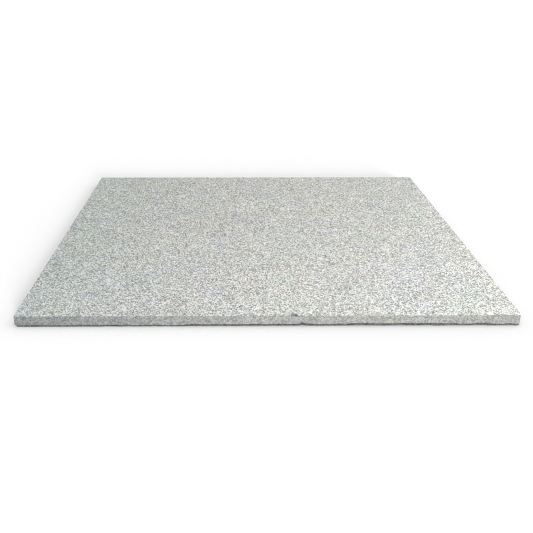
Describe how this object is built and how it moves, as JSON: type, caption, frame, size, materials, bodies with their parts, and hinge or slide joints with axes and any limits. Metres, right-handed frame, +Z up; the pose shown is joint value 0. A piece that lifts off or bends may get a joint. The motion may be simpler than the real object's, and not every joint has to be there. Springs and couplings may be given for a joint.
{
  "type": "granite slab",
  "caption": "Thin square granite slab with a honed speckled top, used as a hard flat backing surface for stamping and carving leather.",
  "frame": {"origin": "centre of the underside, on the surface the slab rests on", "axes": "+Z up through the honed work face, +X to the right along the front edge, +Y towards the rear edge, so the front sawn side faces -Y"},
  "size_m": [0.457, 0.457, 0.011],
  "materials": {
    "granite": "honed light grey granite, fine grained, white feldspar, grey quartz and black mica flecks"
  },
  "bodies": {
    "root": {"granite_slab": "granite"}
  },
  "joints": []
}
